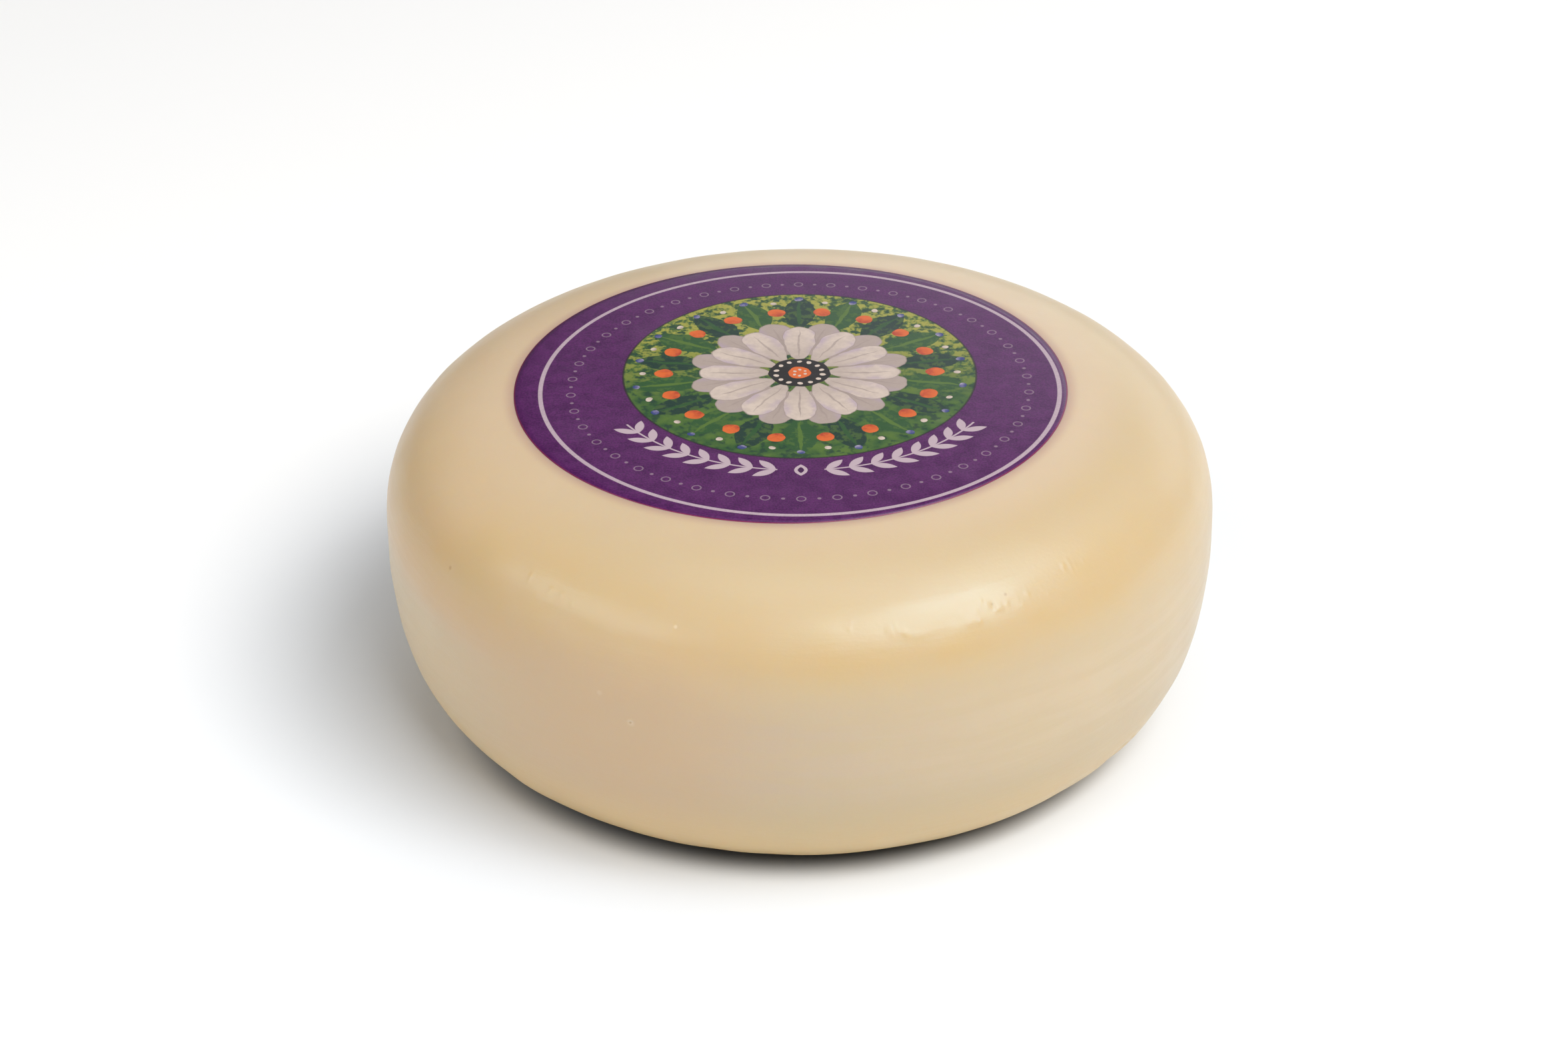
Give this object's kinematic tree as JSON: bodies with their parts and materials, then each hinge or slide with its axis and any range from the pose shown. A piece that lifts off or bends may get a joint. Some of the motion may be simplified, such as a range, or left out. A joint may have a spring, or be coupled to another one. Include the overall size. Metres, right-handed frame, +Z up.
{
  "type": "cheese wheel",
  "caption": "Whole pressed cheese wheel in a smooth cream-yellow coat, flat on both faces with a soft full shoulder, with a round printed paper label on its top.",
  "frame": {"origin": "middle of the flat base that the wheel stands on", "axes": "+Z up through the wheel's axis, -Y towards the viewer for whom the label's pattern is upright, +X to that viewer's right"},
  "size_m": [0.2445, 0.2463, 0.0992],
  "materials": {
    "coated_rind": "satin cream-yellow cheese coating, slightly uneven from brushing",
    "printed_label": "satin printed paper under the clear coating, plum ground with a pale ring and a flower pattern"
  },
  "bodies": {
    "root": {"cheese_wheel": "coated_rind", "label": "printed_label"}
  },
  "joints": []
}
